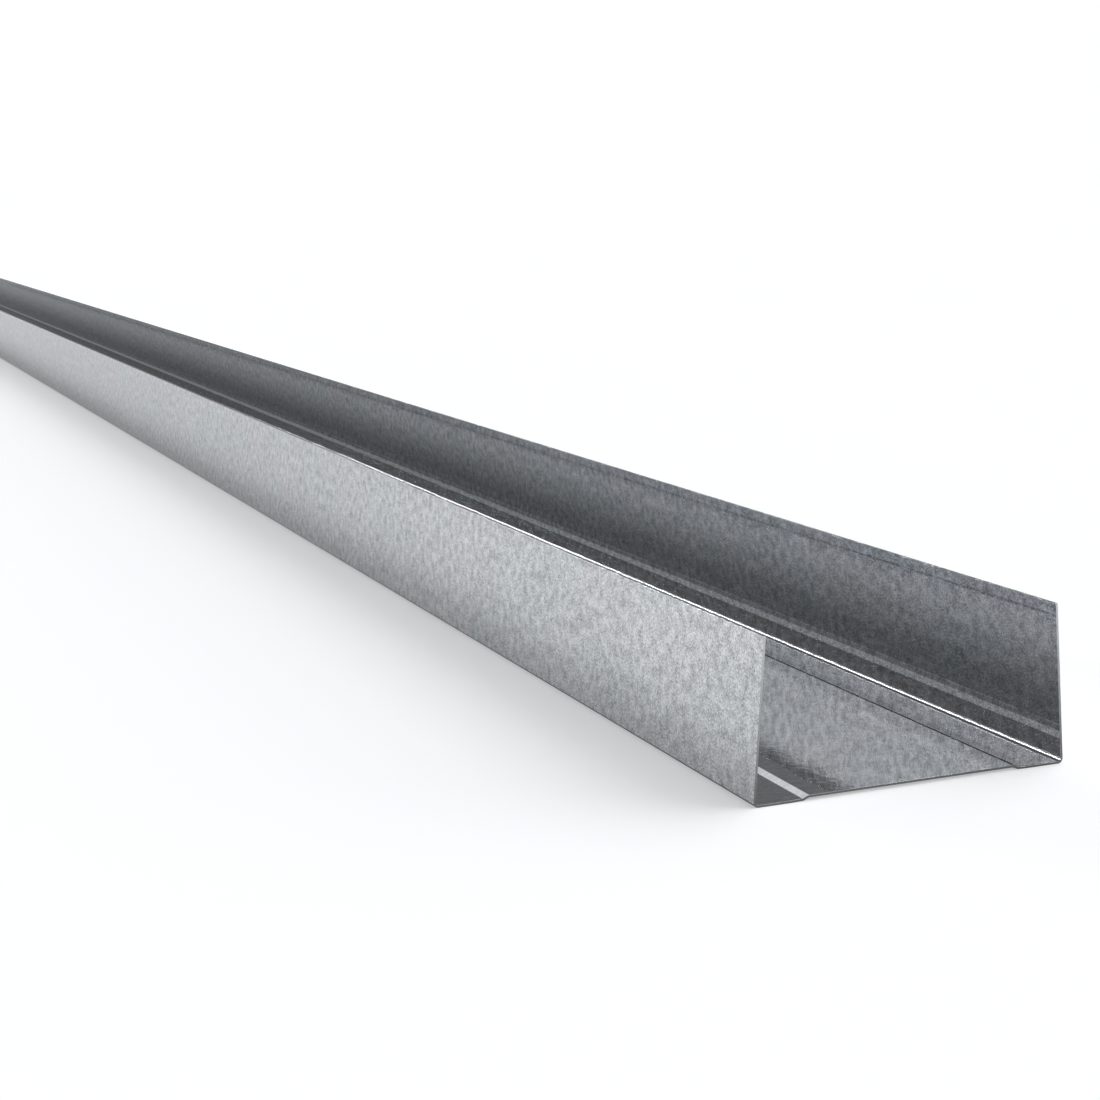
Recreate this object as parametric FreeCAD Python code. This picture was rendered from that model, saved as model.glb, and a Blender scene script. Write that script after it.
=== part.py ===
"""Roll-formed steel stud track: one strip of thin galvanised sheet bent into an open U.

The track lies on its web with its flanges up and its length along X. The near flange is on
the -Y side. The origin is at the middle of the length and of the width, on the floor that
the web lies on. The flanges lean in a little, so that they grip the studs set between them,
and a panel along the middle of the web is raised above the two strips beside the flanges.
All sizes are in millimetres.
"""
import FreeCAD, Part
import math
import os

# The strip as it is sold
track_length = 3048.0
sheet_thickness = 0.46

# The web, between the lines where the outside faces of the flanges would meet the floor
web_width = 67.0

# The flanges, along their outside face from the floor
flange_length = 31.75
flange_toe_in = 3.9             # degrees that each flange leans in from upright
flange_bend_radius = 0.55       # inside the bend between web and flange

# The raised panel along the middle of the web
side_strip_width = 10.2         # from the outside of a flange to the foot of the panel's ramp
panel_rise = 0.55
ramp_run = 1.25                 # across the track, from a ramp's foot to its top
ramp_foot_radius = 0.3          # inside the bend
ramp_top_radius = 0.6           # inside the bend

half_sheet = sheet_thickness / 2


def section_point(across, up):
    """A point of the cross-section, which stands at the far end of the length."""
    return FreeCAD.Vector(-track_length / 2, across, up)


def half_of_middle_line():
    """Corners of the sheet's middle line on the +Y side, from the flange's top inwards.

    Each corner comes with the radius of its bend. The flange's top has none.
    """
    lean = math.radians(flange_toe_in)
    floor_corner = web_width / 2
    bend_inset = half_sheet * (1 + math.sin(lean)) / math.cos(lean)
    flange_top = section_point(
        floor_corner - flange_length * math.sin(lean) - half_sheet * math.cos(lean),
        flange_length * math.cos(lean) - half_sheet * math.sin(lean))
    ramp_foot = floor_corner - side_strip_width
    return [
        (flange_top, None),
        (section_point(floor_corner - bend_inset, half_sheet), flange_bend_radius + half_sheet),
        (section_point(ramp_foot, half_sheet), ramp_foot_radius + half_sheet),
        (section_point(ramp_foot - ramp_run, half_sheet + panel_rise),
         ramp_top_radius + half_sheet),
    ]


def middle_line():
    """All corners of the sheet's middle line, from the +Y flange's top to the -Y one's."""
    half = half_of_middle_line()
    mirrored = [(section_point(-corner.y, corner.z), radius) for corner, radius in half]
    return half + mirrored[::-1]


def outward(start, end):
    """Direction to the sheet's outside face, for a run of the middle line."""
    run = end - start
    return FreeCAD.Vector(0, -run.z, run.y).normalize()


def bend(before, corner, after, radius):
    """Start, middle and end of a bend on the middle line, each with its outward direction."""
    back = (before - corner).normalize()
    ahead = (after - corner).normalize()
    half_angle = back.getAngle(ahead) / 2
    to_centre = (back + ahead).normalize()
    centre = corner + to_centre * (radius / math.sin(half_angle))
    tangent_length = radius / math.tan(half_angle)
    out_before = outward(before, corner)
    out_after = outward(corner, after)
    return [
        (corner + back * tangent_length, out_before),
        (centre - to_centre * radius, (out_before + out_after).normalize()),
        (corner + ahead * tangent_length, out_after),
    ]


def sheet_face(corners, distance):
    """Edges of the sheet's face at that distance outside its middle line, end to end."""
    points = [corner for corner, _ in corners]
    radii = [radius for _, radius in corners]
    at = points[0] + outward(points[0], points[1]) * distance
    edges = []
    for before, corner, after, radius in zip(points, points[1:], points[2:], radii[1:]):
        arc = [point + out * distance for point, out in bend(before, corner, after, radius)]
        edges.append(Part.LineSegment(at, arc[0]).toShape())
        edges.append(Part.Arc(*arc).toShape())
        at = arc[-1]
    tip = points[-1] + outward(points[-2], points[-1]) * distance
    edges.append(Part.LineSegment(at, tip).toShape())
    return edges


def cut_edge(outside_tip, inside_tip):
    """The slit edge along a flange's top, across the thickness of the sheet."""
    return Part.LineSegment(outside_tip, inside_tip).toShape()


def section():
    """The cross-section: the sheet's outside and inside faces, joined at the flange tops."""
    corners = middle_line()
    outside = sheet_face(corners, half_sheet)
    inside = sheet_face(corners, -half_sheet)
    tops = [
        cut_edge(outside[0].Vertexes[0].Point, inside[0].Vertexes[0].Point),
        cut_edge(outside[-1].Vertexes[-1].Point, inside[-1].Vertexes[-1].Point),
    ]
    return Part.Face(Part.Wire(Part.__sortEdges__(outside + inside + tops)))


def stud_track():
    """The section carried along the whole length."""
    return section().extrude(FreeCAD.Vector(track_length, 0, 0))


os.makedirs("parts", exist_ok=True)
track = stud_track()
print("stud_track:", track.ShapeType, "valid", track.isValid(), "mm3", round(track.Volume, 1))
track.exportStep("parts/stud_track.step")
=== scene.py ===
"""A galvanised stud track, bent from one strip of thin sheet, in a small pale studio.

The sheet is drawn as one mesh from its cross-section: a middle line with rounded bends, given
its thickness, carried along the length, with the sheared edges slightly broken. It stands for
the frame's node of the same name and takes its overall size from it. All lengths are metres.
"""

import math

import bpy
from bpy.props import FloatProperty, FloatVectorProperty, PointerProperty
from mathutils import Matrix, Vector


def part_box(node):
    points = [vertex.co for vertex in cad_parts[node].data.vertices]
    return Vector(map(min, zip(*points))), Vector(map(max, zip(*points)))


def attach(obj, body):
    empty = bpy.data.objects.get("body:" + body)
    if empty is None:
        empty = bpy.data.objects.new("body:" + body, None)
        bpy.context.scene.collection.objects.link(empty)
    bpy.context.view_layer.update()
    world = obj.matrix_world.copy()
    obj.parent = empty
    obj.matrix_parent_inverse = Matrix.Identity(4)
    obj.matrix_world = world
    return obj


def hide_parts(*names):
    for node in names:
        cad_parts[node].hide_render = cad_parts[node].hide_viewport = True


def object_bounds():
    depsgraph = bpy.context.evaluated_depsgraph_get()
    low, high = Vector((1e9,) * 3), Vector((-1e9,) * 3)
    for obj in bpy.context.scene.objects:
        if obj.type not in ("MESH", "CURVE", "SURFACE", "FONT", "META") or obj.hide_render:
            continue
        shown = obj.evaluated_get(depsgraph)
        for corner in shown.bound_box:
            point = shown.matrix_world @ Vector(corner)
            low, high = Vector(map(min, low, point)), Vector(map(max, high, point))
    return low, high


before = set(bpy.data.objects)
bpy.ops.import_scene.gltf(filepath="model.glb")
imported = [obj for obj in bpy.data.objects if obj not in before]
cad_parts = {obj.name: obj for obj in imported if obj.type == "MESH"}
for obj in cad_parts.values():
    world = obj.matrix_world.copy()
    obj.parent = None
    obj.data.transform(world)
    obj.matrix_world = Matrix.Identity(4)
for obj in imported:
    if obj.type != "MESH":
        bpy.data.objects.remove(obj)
cad_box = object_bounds()

bl_info = {
    "name": "Stud Track",
    "version": (1, 0, 0),
    "blender": (4, 5, 0),
    "location": "View3D > Sidebar > Stud Track",
    "description": "Draws a galvanised stud track and the pale studio it lies in",
    "category": "Add Mesh",
}

TRACK_NODE = "stud_track"
MM = 0.001


class StudTrackSizes(bpy.types.PropertyGroup):
    """Sizes of the bent sheet. Length, width and height come from the frame."""

    sheet_thickness: FloatProperty(
        name="Sheet Thickness", description="Thickness of the strip",
        default=0.46 * MM, min=0.1 * MM, unit="LENGTH", precision=5)
    flange_toe_in: FloatProperty(
        name="Flange Toe-in", description="How far each flange leans in from upright",
        default=math.radians(3.9), min=0.0, max=math.radians(20), subtype="ANGLE")
    flange_bend_radius: FloatProperty(
        name="Flange Bend Radius", description="Radius inside the bend at the web's edge",
        default=0.55 * MM, min=0.0, unit="LENGTH", precision=5)
    side_strip_width: FloatProperty(
        name="Side Strip Width", description="From a flange's outside to the panel's ramp",
        default=10.2 * MM, min=1 * MM, unit="LENGTH", precision=5)
    panel_rise: FloatProperty(
        name="Panel Rise", description="Height of the web's middle panel above the side strips",
        default=0.55 * MM, min=0.0, unit="LENGTH", precision=5)
    ramp_run: FloatProperty(
        name="Ramp Run", description="Width of the ramp up to the middle panel",
        default=1.25 * MM, min=0.1 * MM, unit="LENGTH", precision=5)
    ramp_foot_radius: FloatProperty(
        name="Ramp Foot Radius", description="Radius inside the bend at a ramp's foot",
        default=0.3 * MM, min=0.0, unit="LENGTH", precision=5)
    ramp_top_radius: FloatProperty(
        name="Ramp Top Radius", description="Radius inside the bend at a ramp's top",
        default=0.6 * MM, min=0.0, unit="LENGTH", precision=5)
    strip_fall_width: FloatProperty(
        name="Strip Fall Width", description="How far from the ramp a side strip slopes a little",
        default=2.6 * MM, min=0.0, unit="LENGTH", precision=5)
    strip_fall: FloatProperty(
        name="Strip Fall", description="How much a side strip falls away from the ramp's foot",
        default=0.06 * MM, min=0.0, unit="LENGTH", precision=5)
    strip_fall_radius: FloatProperty(
        name="Strip Fall Radius", description="Radius of the bend where that slope ends",
        default=10 * MM, min=0.0, unit="LENGTH", precision=4)
    slit_edge_radius: FloatProperty(
        name="Slit Edge Radius", description="Rounding of the corners along the flange tops",
        default=0.06 * MM, min=0.0, unit="LENGTH", precision=5)
    cut_edge_radius: FloatProperty(
        name="Cut Edge Radius", description="Rounding of the corners around the cut ends",
        default=0.04 * MM, min=0.0, unit="LENGTH", precision=5)
    bay_length: FloatProperty(
        name="Bay Length", description="Longest face along the track",
        default=25.4 * MM, min=2 * MM, unit="LENGTH", precision=4)
    bend_step: FloatProperty(
        name="Bend Step", description="Largest turn from one face of a bend to the next",
        default=math.radians(8), min=math.radians(1), subtype="ANGLE")


class GalvanisedFinish(bpy.types.PropertyGroup):
    """Colour, grain and gloss of the zinc, and of the bare steel where it is cut, and the highlight
    and shade painted at the bends.
    """

    zinc: FloatVectorProperty(
        name="Zinc", description="Mean colour of the zinc", subtype="COLOR",
        size=3, min=0.0, max=1.0, default=(0.701, 0.718, 0.733))
    zinc_warm: FloatVectorProperty(
        name="Warm Zinc", description="Colour of the faint warm patches", subtype="COLOR",
        size=3, min=0.0, max=1.0, default=(0.717, 0.712, 0.727))
    # Painted highlight: near-white zinc colour inside the tight flange bends
    painted_bend_highlight: FloatVectorProperty(
        name="Painted Bend Highlight", description="Colour of the zinc painted inside the tight bends as a highlight",
        subtype="COLOR", size=3, min=0.0, max=1.0, default=(0.95, 0.96, 0.97))
    # Painted shade: dark zinc colour outside the bends and in the far bend's crease
    painted_bend_shade: FloatVectorProperty(
        name="Painted Bend Shade", description="Colour outside the bends and in the crease at their foot",
        subtype="COLOR", size=3, min=0.0, max=1.0, default=(0.21, 0.21, 0.215))
    sheared_steel: FloatVectorProperty(
        name="Sheared Steel", description="Colour of the cut faces", subtype="COLOR",
        size=3, min=0.0, max=1.0, default=(0.17, 0.165, 0.165))
    grain_width: FloatProperty(
        name="Grain Width", description="Size of the flanges' finest grain, along the track",
        default=0.44 * MM, min=0.05 * MM, unit="LENGTH", precision=5)
    grain_length: FloatProperty(
        name="Grain Length", description="Size of the flanges' finest grain, across the strip",
        default=0.46 * MM, min=0.1 * MM, unit="LENGTH", precision=5)
    grain_contrast: FloatProperty(
        name="Grain Contrast", description="How much the grain changes the flanges' brightness",
        default=1.5, min=0.0, max=2.0)
    web_grain_width: FloatProperty(
        name="Web Grain Width", description="Size of the web's finest grain, along the track",
        default=1.1 * MM, min=0.1 * MM, unit="LENGTH", precision=5)
    web_grain_length: FloatProperty(
        name="Web Grain Length", description="Size of the web's finest grain, across the strip",
        default=2.4 * MM, min=0.1 * MM, unit="LENGTH", precision=5)
    web_grain_contrast: FloatProperty(
        name="Web Grain Contrast", description="How much the grain changes the web's brightness",
        default=0.4, min=0.0, max=2.0)
    roughness_low: FloatProperty(
        name="Smooth Zinc", description="Roughness of the smoothest grain",
        default=0.02, min=0.0, max=1.0)
    roughness_high: FloatProperty(
        name="Rough Zinc", description="Roughness of the roughest grain",
        default=0.045, min=0.0, max=1.0)
    web_relief: FloatProperty(
        name="Web Relief", description="How much the mottle tilts the web's surface",
        default=0.045, min=0.0, max=1.0)
    flange_relief: FloatProperty(
        name="Flange Relief", description="How much the mottle tilts the flanges' surface",
        default=0.03, min=0.0, max=1.0)


class StudioSettings(bpy.types.PropertyGroup):
    """Floor, light and camera."""

    floor_colour: FloatVectorProperty(
        name="Floor", description="Colour of the floor", subtype="COLOR",
        size=3, min=0.0, max=1.0, default=(0.76, 0.76, 0.76))
    floor_lift: FloatProperty(
        name="Floor Lift", description="Light added to the floor where the camera sees it",
        default=0.34, min=0.0)
    floor_lift_mirrored: FloatProperty(
        name="Mirrored Floor Lift", description="Light added to the floor where metal shows it",
        default=0.14, min=0.0)
    floor_size: FloatProperty(
        name="Floor Size", description="Side of the square floor",
        default=60.0, min=1.0, unit="LENGTH")
    camera_place: FloatVectorProperty(
        name="Camera Place", description="Where the camera stands", subtype="XYZ",
        size=3, unit="LENGTH", precision=5, default=(1.83709, -0.19666, 0.11300))
    camera_turn: FloatVectorProperty(
        name="Camera Turn", description="The camera's rotation", subtype="EULER",
        size=3, default=tuple(math.radians(a) for a in (79.5529, 1.1026, 68.0900)))
    camera_lens: FloatProperty(
        name="Lens", description="Focal length in millimetres on a 36 mm sensor",
        default=66.27, min=1.0)
    light_tint: FloatVectorProperty(
        name="Light Tint", description="Colour of all the light", subtype="COLOR",
        size=3, min=0.0, max=2.0, default=(0.972, 1.0, 1.027))
    strip_light: FloatProperty(
        name="Strip Light", description="Brightness of the narrow light over the far part",
        default=48.0, min=0.0)
    back_light: FloatProperty(
        name="Back Light", description="Strength of the lamp whose shadow falls in front",
        default=2.12, min=0.0)
    back_light_spread: FloatProperty(
        name="Back Light Spread", description="How wide that lamp is, seen from the track",
        default=math.radians(80), min=0.0, subtype="ANGLE")


class Station:
    """A place on the sheet's middle line, with the direction to the outside of the bend."""

    def __init__(self, place, out, along=0.0):
        self.place = place
        self.out = out
        self.along = along


def out_of(start, end):
    """Direction to the outside face for a run of the middle line, in (y, z)."""
    run = (end - start).normalized()
    return Vector((-run.y, run.x))


def middle_corners(sizes):
    """Corners (y, z) of the middle line and their bend radii, from the +Y flange's top."""
    low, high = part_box(TRACK_NODE)
    half = sizes.sheet_thickness / 2
    lean = sizes.flange_toe_in
    outer_radius = sizes.flange_bend_radius + sizes.sheet_thickness
    half_corner = (math.pi / 2 - lean) / 2
    floor_corner = high[1] + outer_radius * (1 / math.tan(half_corner) - 1)
    flange_length = high[2] / math.cos(lean)
    top = Vector((floor_corner - flange_length * math.sin(lean) - half * math.cos(lean),
                  high[2] - half * math.sin(lean)))
    bend = Vector((floor_corner - half * (1 + math.sin(lean)) / math.cos(lean), half))
    foot = Vector((floor_corner - sizes.side_strip_width, half + sizes.strip_fall))
    level = Vector((foot.x + sizes.strip_fall_width, half))
    ramp_top = Vector((foot.x - sizes.ramp_run, half + sizes.panel_rise))
    side = [
        (top, 0.0),
        (bend, sizes.flange_bend_radius + half),
        (level, sizes.strip_fall_radius),
        (foot, sizes.ramp_foot_radius + half),
        (ramp_top, sizes.ramp_top_radius + half),
    ]
    return side + [(Vector((-corner.x, corner.y)), radius) for corner, radius in reversed(side)]


def bend_stations(before, corner, after, radius, step):
    """Stations round one bend, from tangent point to tangent point."""
    back = (before - corner).normalized()
    ahead = (after - corner).normalized()
    half_angle = back.angle(ahead) / 2
    centre = corner + (back + ahead).normalized() * (radius / math.sin(half_angle))
    out_start, out_end = out_of(before, corner), out_of(corner, after)
    start = corner + back * (radius / math.tan(half_angle))
    side = 1 if (start - centre).dot(out_start) > 0 else -1
    turn = out_start.angle_signed(out_end)
    count = max(2, math.ceil(abs(turn) / step))
    stations = []
    for i in range(count + 1):
        angle = -turn * i / count
        out = Vector((out_start.x * math.cos(angle) - out_start.y * math.sin(angle),
                      out_start.x * math.sin(angle) + out_start.y * math.cos(angle)))
        stations.append(Station(centre + out * (radius * side), out))
    return stations


def section_stations(sizes):
    """All stations of the middle line in order, each with its distance along the strip."""
    corners = middle_corners(sizes)
    points = [corner for corner, _ in corners]
    stations = [Station(points[0], out_of(points[0], points[1]))]
    for i in range(1, len(points) - 1):
        stations += bend_stations(points[i - 1], points[i], points[i + 1], corners[i][1],
                                  sizes.bend_step)
    stations.append(Station(points[-1], out_of(points[-2], points[-1])))
    for before, station in zip(stations, stations[1:]):
        station.along = before.along + (station.place - before.place).length
    return stations


class RimPoint:
    """A point of the section's closed outline.

    The side is 1 on the outside face and -1 on the inside one. The cut is 0 on the faces and
    rises to 1 over the broken corners of a flange's top.
    """

    def __init__(self, place, normal, along, side, cut):
        self.place = place
        self.normal = normal
        self.along = along
        self.side = side
        self.cut = cut


BROKEN_CORNER_DEGREES = (0, 30, 60, 90)


def tip_points(station, travel, half, radius, from_side):
    """The two broken corners and the flat between them at a flange's top."""
    points = []
    for side in (from_side, -from_side):
        normal = station.out * side
        centre = station.place + normal * (half - radius) - travel * radius
        for degrees in BROKEN_CORNER_DEGREES[::1 if side == from_side else -1]:
            a = math.radians(degrees)
            direction = normal * math.cos(a) + travel * math.sin(a)
            points.append(RimPoint(centre + direction * radius, direction, station.along, side,
                                   math.sin(a)))
    return points


def section_outline(sizes):
    """The outline of the section, and how many points lie on each face and each tip."""
    stations = section_stations(sizes)
    half = sizes.sheet_thickness / 2
    inner = stations[1:-1]
    outside = [RimPoint(s.place + s.out * half, s.out, s.along, 1, 0.0) for s in inner]
    inside = [RimPoint(s.place - s.out * half, -s.out, s.along, -1, 0.0) for s in inner]
    last_travel = (stations[-1].place - stations[-2].place).normalized()
    first_travel = (stations[0].place - stations[1].place).normalized()
    last_tip = tip_points(stations[-1], last_travel, half, sizes.slit_edge_radius, 1)
    first_tip = tip_points(stations[0], first_travel, half, sizes.slit_edge_radius, -1)
    return outside + last_tip + inside[::-1] + first_tip, len(inner), len(last_tip)


def ring_places(length, sizes):
    """Places along X of the rings, each with its inset and the lean of its normals to +X."""
    radius = sizes.cut_edge_radius
    bays = math.ceil(length / sizes.bay_length)
    body = [(-length / 2 + radius + (length - 2 * radius) * i / bays, 0.0, 0.0)
            for i in range(bays + 1)]
    broken = []
    for degrees in BROKEN_CORNER_DEGREES[1:]:
        a = math.radians(degrees)
        broken.append((length / 2 - radius + radius * math.sin(a), radius * (1 - math.cos(a)), a))
    return [(-x, inset, -a) for x, inset, a in reversed(broken)] + body + broken


# The cut ends look like bare steel along the web, and mostly like zinc up the flanges
WEB_END_HEIGHT = 3 * MM
FLANGE_END_STEEL = 0.2
# The third part of a place on the strip, which sets the grain of its two faces apart
FACE_OFFSET = 0.1


class SheetPoints:
    """Vertices of the swept sheet, with their normals and the values that the zinc reads."""

    def __init__(self):
        self.vertices = []
        self.normals = []
        self.strip_places = []
        self.cuts = []

    def add_ring(self, outline, x, inset, lean):
        for point in outline:
            at = point.place - point.normal * inset
            flat = point.normal * math.cos(lean)
            self.vertices.append((x, at.x, at.y))
            self.normals.append((math.sin(lean), flat.x, flat.y))
            self.strip_places.append((x, point.along, FACE_OFFSET * point.side))
            self.cuts.append(self.cut_at(point, abs(math.sin(lean))))

    def cut_at(self, point, end_share):
        shown = FLANGE_END_STEEL if point.place.y > WEB_END_HEIGHT else 1.0
        return max(point.cut * (1 - end_share), end_share * shown)


def side_faces(rings, around):
    """Quads between each ring and the next."""
    faces = []
    for ring in range(rings - 1):
        start = ring * around
        for i in range(around):
            j = (i + 1) % around
            faces.append((start + i, start + around + i, start + around + j, start + j))
    return faces


def end_faces(start, on_face, on_tip, flip):
    """Faces that close one end: a strip of quads along the sheet and one cap at each tip."""
    around = 2 * (on_face + on_tip)
    opposite = [2 * on_face + on_tip - 1 - i for i in range(on_face)]
    faces = []
    for i in range(on_face - 1):
        faces.append([i, i + 1, opposite[i + 1], opposite[i]])
    last_tip = list(range(on_face - 1, on_face + on_tip + 1))
    first_tip = list(range(2 * on_face + on_tip - 1, around)) + [0]
    faces += [last_tip, first_tip]
    return [tuple(start + i for i in (reversed(face) if flip else face)) for face in faces]


def sheet_mesh(sizes):
    """The track as one closed mesh, with its place on the flat strip kept on each vertex."""
    low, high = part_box(TRACK_NODE)
    outline, on_face, on_tip = section_outline(sizes)
    rings = ring_places(high[0] - low[0], sizes)
    around = len(outline)
    points = SheetPoints()
    for x, inset, lean in rings:
        points.add_ring(outline, x, inset, lean)
    faces = side_faces(len(rings), around)
    faces += end_faces(0, on_face, on_tip, False)
    faces += end_faces((len(rings) - 1) * around, on_face, on_tip, True)

    mesh = bpy.data.meshes.new(TRACK_NODE + "_sheet")
    mesh.from_pydata(points.vertices, [], faces)
    mesh.validate()
    mesh.polygons.foreach_set("use_smooth", [True] * len(mesh.polygons))
    mesh.normals_split_custom_set_from_vertices(points.normals)
    strip_place = mesh.attributes.new("strip_place", "FLOAT_VECTOR", "POINT")
    strip_place.data.foreach_set("vector", [v for place in points.strip_places for v in place])
    cut_face = mesh.attributes.new("cut_face", "FLOAT", "POINT")
    cut_face.data.foreach_set("value", points.cuts)
    return mesh


# Size of all the grain along the third part of a place on the strip, and the noise's octaves
GRAIN_DEPTH = 10 * MM
NOISE_DETAIL = 2.0


def with_alpha(colour):
    return (*colour, 1.0)


class NodeChain:
    """Short calls to add shader nodes to a tree and link them."""

    def __init__(self, tree):
        self.tree = tree
        tree.nodes.clear()

    def set_or_link(self, socket, value):
        if isinstance(value, bpy.types.NodeSocket):
            self.tree.links.new(value, socket)
        else:
            socket.default_value = value

    def add(self, kind, inputs=None, **settings):
        node = self.tree.nodes.new(kind)
        for name, value in settings.items():
            setattr(node, name, value)
        for name, value in (inputs or {}).items():
            self.set_or_link(node.inputs[name], value)
        return node

    def maths(self, operation, first, second=0.0, **settings):
        return self.add("ShaderNodeMath", {0: first, 1: second}, operation=operation,
                        **settings).outputs[0]

    def product(self, first, second):
        return self.maths("MULTIPLY", first, second)

    def larger(self, first, second):
        return self.maths("MAXIMUM", first, second)

    def ranged(self, value, limits, to_low=0.0, to_high=1.0, kind="LINEAR"):
        """The value carried from between the two limits to between the two results."""
        return self.add("ShaderNodeMapRange", {
            "Value": value, "From Min": limits[0], "From Max": limits[1],
            "To Min": to_low, "To Max": to_high}, interpolation_type=kind).outputs["Result"]

    def eased(self, value, limits, to_low=0.0, to_high=1.0):
        return self.ranged(value, limits, to_low, to_high, "SMOOTHSTEP")

    def noise(self, strip_place, size, roughness=0.5):
        """Noise on the flat strip, of the sizes given along the track and across the strip."""
        place = self.add("ShaderNodeVectorMath", {
            0: strip_place, 1: (1 / size[0], 1 / size[1], 1 / GRAIN_DEPTH)},
            operation="MULTIPLY").outputs["Vector"]
        return self.add("ShaderNodeTexNoise", {
            "Vector": place, "Scale": 1.0, "Detail": NOISE_DETAIL,
            "Roughness": roughness}).outputs["Fac"]

    def mixed(self, share, first, second):
        """The first colour where the share is 0, the second where it is 1."""
        node = self.add("ShaderNodeMix", data_type="RGBA")
        for index, value in ((0, share), (6, first), (7, second)):
            self.set_or_link(node.inputs[index], value)
        return node.outputs[2]

    def mixed_value(self, share, first, second):
        """The first value where the share is 0, the second where it is 1."""
        return self.add("ShaderNodeMix", {0: share, 2: first, 3: second},
                        data_type="FLOAT").outputs[0]


# The grain's coarser layers: size along the track and across the strip
MOTTLE_SIZE = (2.4 * MM, 2.6 * MM)
PATCH_SIZE = (14 * MM, 14 * MM)
CLOUD_SIZE = (40 * MM, 25 * MM)
# Roughness of the noise in the finest layers and in the mottle
FLANGE_FINE_ROUGHNESS = 0.8
WEB_FINE_ROUGHNESS = 0.7
MOTTLE_ROUGHNESS = 0.7
# Share of each layer in the grain
FINE_SHARE = 0.58
MOTTLE_SHARE = 0.36
PATCH_SHARE = 0.06

# Values of the grain between which it changes the brightness, and the roughness
GRAIN_RANGE = (0.32, 0.68)
ROUGHNESS_RANGE = (0.3, 0.7)
# Values of the clouds between which the zinc turns warm
WARM_RANGE = (0.4, 0.62)
# Depth of the relief at full strength
RELIEF_DEPTH = 0.1 * MM
# How bright the metal's rim is at a glancing angle, against white
RIM_TINT = (0.8, 0.8, 0.8, 1.0)

# Limits on uprightness, which is 0 on the web and 1 on the flanges
WEB_TO_FLANGE_GRAIN = (0.1, 0.5)
WEB_TO_FLANGE_CONTRAST = (0.3, 0.7)
WEB_TO_FLANGE_RELIEF = (0.02, 0.06)
# Where the shade painted in the far bend's crease begins and ends
CREASE_BEGINS = (0.0005, 0.003)
CREASE_AT_FOOT = (0.3, 0.2)
CREASE_AT_TOP = (0.90, 0.95)
# Limits on slant, which is most inside the flange bends and least outside them: the highlight is
# painted inside the bends and the shade outside them
INSIDE_BEND_HIGHLIGHT = (0.18, 0.26)
OUTSIDE_BEND_SHADE = (-0.15, -0.3)
# Limits on the place of the far bend, across the track and up, where shade is painted in its crease
FAR_BEND_ACROSS = (29 * MM, 30 * MM)
FAR_BEND_UP = (1.12 * MM, 1.02 * MM)
# Limits on how far a face is turned to +Y
FACING_FAR_SIDE = (0.4, 0.6)


class SheetSurface:
    """Where a point of the sheet lies and which way it faces, as sockets for its material."""

    def __init__(self, chain):
        coordinates = chain.add("ShaderNodeTexCoord").outputs
        facing = chain.add("ShaderNodeSeparateXYZ", {0: coordinates["Normal"]}).outputs
        self.place = chain.add("ShaderNodeSeparateXYZ", {0: coordinates["Object"]}).outputs
        self.facing_across = facing["Y"]
        self.uprightness = chain.product(facing["Y"], facing["Y"])
        self.slant = chain.product(self.uprightness, facing["Z"])
        self.strip_place = self.attribute(chain, "strip_place", "Vector")
        self.cut = self.attribute(chain, "cut_face", "Fac")

    def attribute(self, chain, name, output):
        return chain.add("ShaderNodeAttribute", attribute_name=name).outputs[output]


def zinc_grain(chain, surface, mottle, finish):
    """Brightness of the crystals: fine grain, coarser mottle and a little of wide patches."""
    strip = surface.strip_place
    on_flange = chain.noise(strip, (finish.grain_width, finish.grain_length),
                            FLANGE_FINE_ROUGHNESS)
    on_web = chain.noise(strip, (finish.web_grain_width, finish.web_grain_length),
                         WEB_FINE_ROUGHNESS)
    upright = chain.ranged(surface.uprightness, WEB_TO_FLANGE_GRAIN)
    fine = chain.mixed_value(upright, on_web, on_flange)
    patches = chain.noise(strip, PATCH_SIZE)
    grain = chain.maths("ADD", chain.product(fine, FINE_SHARE),
                        chain.product(mottle, MOTTLE_SHARE))
    return chain.maths("ADD", grain, chain.product(patches, PATCH_SHARE))


def grained_zinc(chain, surface, grain, finish):
    """Zinc with its warm clouds, made brighter and darker by the grain.

    The grain is strong on the flanges, and weak on the web and inside the near flange.
    """
    near_inside = chain.product(chain.maths("LESS_THAN", surface.place["Y"], 0.0),
                                chain.ranged(surface.facing_across, FACING_FAR_SIDE))
    strong = chain.maths("SUBTRACT", chain.ranged(surface.uprightness, WEB_TO_FLANGE_CONTRAST),
                         near_inside, use_clamp=True)
    contrast = chain.ranged(strong, (0.0, 1.0), finish.web_grain_contrast, finish.grain_contrast)
    change = chain.ranged(grain, GRAIN_RANGE, -0.5, 0.5)
    brightness = chain.maths("ADD", chain.product(change, contrast), 1.0)
    clouds = chain.noise(surface.strip_place, CLOUD_SIZE)
    tint = chain.mixed(chain.eased(clouds, WARM_RANGE), with_alpha(finish.zinc),
                       with_alpha(finish.zinc_warm))
    return chain.add("ShaderNodeVectorMath", {0: tint, "Scale": brightness},
                     operation="SCALE").outputs["Vector"]


def bend_shade_share(chain, surface):
    """Share of the painted shade: 1 outside the bends, and in the crease at either end of the far
    bend's inside.
    """
    outside = chain.eased(surface.slant, OUTSIDE_BEND_SHADE)
    at_bend = chain.product(chain.ranged(surface.place["Y"], FAR_BEND_ACROSS),
                            chain.ranged(surface.place["Z"], FAR_BEND_UP))
    ends = chain.larger(chain.ranged(surface.uprightness, CREASE_AT_FOOT),
                        chain.ranged(surface.uprightness, CREASE_AT_TOP))
    crease = chain.product(chain.ranged(surface.uprightness, CREASE_BEGINS), ends)
    return chain.larger(outside, chain.product(crease, at_bend))


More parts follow.
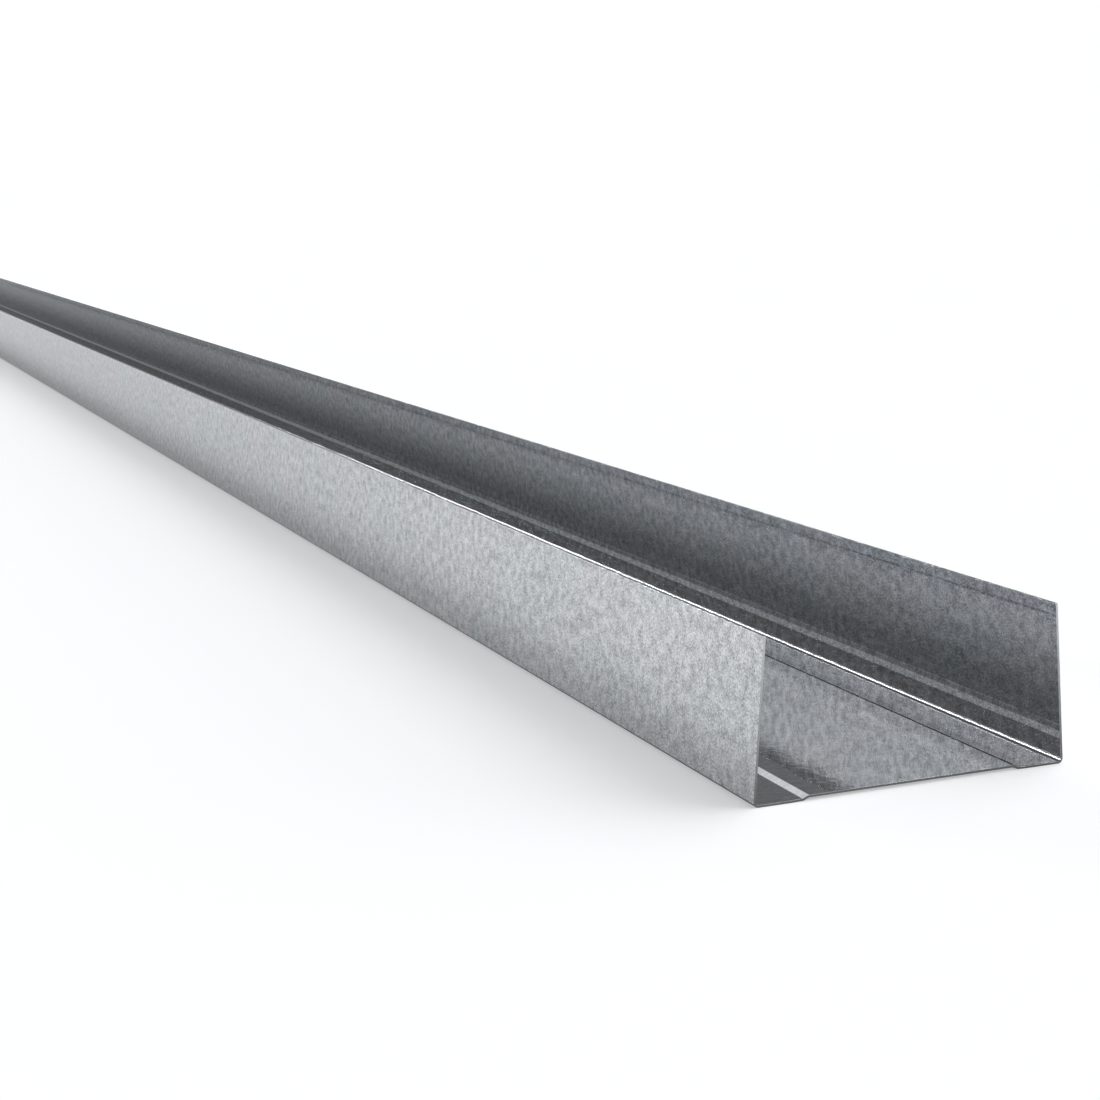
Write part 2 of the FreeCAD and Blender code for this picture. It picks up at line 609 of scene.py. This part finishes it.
def surface_relief(chain, surface, mottle, finish):
    """The normal of the faintly uneven sheet."""
    strength = chain.ranged(surface.uprightness, WEB_TO_FLANGE_RELIEF, finish.web_relief,
                            finish.flange_relief)
    return chain.add("ShaderNodeBump", {"Strength": strength, "Distance": RELIEF_DEPTH,
                                        "Height": mottle}).outputs["Normal"]


def galvanised_material(finish):
    """Grained zinc, with a highlight painted inside the bends and shade painted outside them and in
    the far bend's crease, and bare steel where it is cut.
    """
    material = bpy.data.materials.new("galvanised_sheet")
    material.use_nodes = True
    chain = NodeChain(material.node_tree)
    surface = SheetSurface(chain)
    mottle = chain.noise(surface.strip_place, MOTTLE_SIZE, MOTTLE_ROUGHNESS)
    grain = zinc_grain(chain, surface, mottle, finish)
    zinc = grained_zinc(chain, surface, grain, finish)
    # Painted highlight: the zinc turns near white inside the flange bends
    zinc = chain.mixed(chain.eased(surface.slant, INSIDE_BEND_HIGHLIGHT), zinc,
                       with_alpha(finish.painted_bend_highlight))
    # Painted shade: the zinc turns dark outside the bends and in the far bend's crease
    zinc = chain.mixed(bend_shade_share(chain, surface), zinc, with_alpha(finish.painted_bend_shade))
    shader = chain.add("ShaderNodeBsdfPrincipled", {
        "Base Color": chain.mixed(surface.cut, zinc, with_alpha(finish.sheared_steel)),
        "Metallic": 1.0,
        "Roughness": chain.ranged(grain, ROUGHNESS_RANGE, finish.roughness_low,
                                  finish.roughness_high),
        "Specular Tint": RIM_TINT,
        "Normal": surface_relief(chain, surface, mottle, finish)})
    chain.add("ShaderNodeOutputMaterial", {"Surface": shader.outputs["BSDF"]})
    return material


class STUDTRACK_OT_sheet(bpy.types.Operator):
    """Draw the bent sheet in place of the frame's plain solid"""

    bl_idname = "stud_track.draw_sheet"
    bl_label = "Draw Sheet"

    def execute(self, context):
        scene = context.scene
        track = bpy.data.objects.new("track_sheet", sheet_mesh(scene.stud_track_sizes))
        scene.collection.objects.link(track)
        track.data.materials.append(galvanised_material(scene.stud_track_finish))
        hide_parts(TRACK_NODE)
        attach(track, "root")
        return {"FINISHED"}


def floor_material(settings):
    """A pale matt floor, lifted a little where the camera or the metal sees it."""
    material = bpy.data.materials.new("pale_floor")
    material.use_nodes = True
    chain = NodeChain(material.node_tree)
    matt = chain.add("ShaderNodeBsdfDiffuse", {"Color": with_alpha(settings.floor_colour)})
    path = chain.add("ShaderNodeLightPath").outputs
    mirrored = chain.larger(path["Is Glossy Ray"], path["Is Transmission Ray"])
    lift = chain.maths("ADD", chain.product(mirrored, settings.floor_lift_mirrored),
                       chain.product(path["Is Camera Ray"], settings.floor_lift))
    glow = chain.add("ShaderNodeEmission", {"Strength": lift})
    both = chain.add("ShaderNodeAddShader", {0: matt.outputs[0], 1: glow.outputs[0]})
    chain.add("ShaderNodeOutputMaterial", {"Surface": both.outputs[0]})
    return material


# Brightness round the track, by the angle in degrees above the horizon. Behind it are low
# walls, a dark gap and a wide softbox, and in front low walls, a dark gap and a dim panel.
LEVELS_BEHIND = [(9.4, 0.63), (10.3, 0.73), (10.75, 0.82), (11.1, 0.60), (11.8, 0.84), (14, 0.84),
                 (17, 0.72), (21, 0.66), (22.4, 0.40), (23.7, 0.22), (25, 0.18),
                 (36, 0.18), (39, 0.82), (82, 0.82), (90, 0.30)]
LEVELS_IN_FRONT = [(14, 0.88), (19.3, 0.84), (20.3, 0.64), (22, 0.70), (23.5, 0.72), (23.75, 0.17),
                   (29, 0.15), (34.6, 0.15), (35.4, 0.42), (36.4, 0.42), (38, 0.28), (60, 0.28),
                   (68, 0.15)]

# The narrow strip light in front: its angle round the track, and how far to either side of
# that it ends and is at its full strength
STRIP_ANGLE = math.radians(151.3)
STRIP_EDGE = (math.radians(1.4), math.radians(0.8))
# Limits of the strip light along the track, on the direction's X
STRIP_NEAR_END = (-0.68, -0.74)
STRIP_FAR_END = (-0.975, -0.93)
# Heights of a direction between which the background turns white at the horizon
WHITE_HORIZON = (0.035, 0.02)
# Brightness of the background for the camera
WHITE_BACKGROUND = 1.03


def level_round_track(chain, angle):
    """Brightness by the angle from the horizon behind, over the top, to the one in front."""
    stops = LEVELS_BEHIND + [(180 - degrees, value) for degrees, value in LEVELS_IN_FRONT[::-1]]
    level = stops[0][1]
    for (low, before), (high, after) in zip(stops, stops[1:]):
        if before != after:
            limits = (math.radians(low), math.radians(high))
            level = chain.maths("ADD", level, chain.eased(angle, limits, 0.0, after - before))
    return level


def strip_level(chain, angle, along, strength):
    """Brightness of the strip light, which ends softly along the track."""
    away = chain.maths("ABSOLUTE", chain.maths("SUBTRACT", angle, STRIP_ANGLE))
    strip = chain.eased(away, STRIP_EDGE, 0.0, strength)
    ends = chain.product(chain.eased(along, STRIP_NEAR_END), chain.eased(along, STRIP_FAR_END))
    return chain.product(strip, ends)


def background_level(chain, height):
    """White for the camera, and at the horizon for what metal or glass shows of it."""
    path = chain.add("ShaderNodeLightPath").outputs
    shown = chain.larger(chain.larger(path["Is Camera Ray"], path["Is Glossy Ray"]),
                         path["Is Transmission Ray"])
    horizon = chain.product(chain.eased(height, WHITE_HORIZON), shown)
    return chain.larger(horizon, chain.product(path["Is Camera Ray"], WHITE_BACKGROUND))


def studio_world(settings):
    """What surrounds the track: walls and lights drawn by the angle round it, and white."""
    world = bpy.data.worlds.new("studio")
    world.use_nodes = True
    chain = NodeChain(world.node_tree)
    direction = chain.add("ShaderNodeTexCoord").outputs["Generated"]
    axes = chain.add("ShaderNodeSeparateXYZ", {0: direction}).outputs
    angle = chain.maths("ARCTAN2", axes["Z"], axes["Y"])
    level = chain.maths("ADD", level_round_track(chain, angle),
                        strip_level(chain, angle, axes["X"], settings.strip_light))
    level = chain.larger(level, background_level(chain, axes["Z"]))
    background = chain.add("ShaderNodeBackground", {"Color": with_alpha(settings.light_tint),
                                                    "Strength": level})
    chain.add("ShaderNodeOutputWorld", {"Surface": background.outputs[0]})
    return world


# From the track to the lamp behind it
BACK_LIGHT_DIRECTION = (0.0, 0.84, 0.54)
# How far the floor lies under the track
FLOOR_CLEARANCE = 0.02 * MM
SENSOR_WIDTH = 36.0
CLIP_START = 0.01
CLIP_END = 100.0


class STUDTRACK_OT_studio(bpy.types.Operator):
    """Lay the floor, set the light and stand the camera"""

    bl_idname = "stud_track.set_studio"
    bl_label = "Set Studio"

    def execute(self, context):
        scene = context.scene
        settings = scene.stud_track_studio
        self.lay_floor(scene, settings)
        scene.world = studio_world(settings)
        self.hang_back_light(scene, settings)
        self.stand_camera(scene, settings)
        scene.view_settings.view_transform = "Standard"
        return {"FINISHED"}

    def lay_floor(self, scene, settings):
        half = settings.floor_size / 2
        mesh = bpy.data.meshes.new("floor")
        mesh.from_pydata([(-half, -half, 0), (half, -half, 0), (half, half, 0), (-half, half, 0)],
                         [], [(0, 1, 2, 3)])
        floor = bpy.data.objects.new("floor", mesh)
        floor.location.z = cad_box[0][2] - FLOOR_CLEARANCE
        mesh.materials.append(floor_material(settings))
        scene.collection.objects.link(floor)

    def hang_back_light(self, scene, settings):
        """A wide lamp so far off that its light is even along the whole track."""
        data = bpy.data.lights.new("back_light", "SUN")
        data.angle = settings.back_light_spread
        data.energy = settings.back_light
        data.color = settings.light_tint
        lamp = bpy.data.objects.new("back_light", data)
        lamp.rotation_euler = Vector(BACK_LIGHT_DIRECTION).to_track_quat("Z", "Y").to_euler()
        scene.collection.objects.link(lamp)

    def stand_camera(self, scene, settings):
        data = bpy.data.cameras.new("camera")
        data.sensor_width = SENSOR_WIDTH
        data.lens = settings.camera_lens
        data.clip_start = CLIP_START
        data.clip_end = CLIP_END
        camera = bpy.data.objects.new("camera", data)
        camera.location = settings.camera_place
        camera.rotation_euler = settings.camera_turn
        scene.collection.objects.link(camera)
        scene.camera = camera


class STUDTRACK_PT_sidebar(bpy.types.Panel):
    """Lists the operators, in the order in which they are used, above their settings"""

    bl_idname = "STUDTRACK_PT_sidebar"
    bl_label = "Stud Track"
    bl_space_type = "VIEW_3D"
    bl_region_type = "UI"
    bl_category = "Stud Track"

    def draw(self, context):
        scene = context.scene
        for operator, groups in (
            (STUDTRACK_OT_sheet, (scene.stud_track_sizes, scene.stud_track_finish)),
            (STUDTRACK_OT_studio, (scene.stud_track_studio,)),
        ):
            box = self.layout.box()
            box.operator(operator.bl_idname)
            for settings in groups:
                for name in settings.__annotations__:
                    box.prop(settings, name)


CLASSES = (StudTrackSizes, GalvanisedFinish, StudioSettings, STUDTRACK_OT_sheet,
           STUDTRACK_OT_studio, STUDTRACK_PT_sidebar)
SETTINGS = {
    "stud_track_sizes": StudTrackSizes,
    "stud_track_finish": GalvanisedFinish,
    "stud_track_studio": StudioSettings,
}


def register():
    for cls in CLASSES:
        bpy.utils.register_class(cls)
    for name, group in SETTINGS.items():
        setattr(bpy.types.Scene, name, PointerProperty(type=group))


def unregister():
    for name in SETTINGS:
        delattr(bpy.types.Scene, name)
    for cls in reversed(CLASSES):
        bpy.utils.unregister_class(cls)


def main():
    register()
    bpy.ops.stud_track.draw_sheet()
    bpy.ops.stud_track.set_studio()


if __name__ == "__main__":
    main()
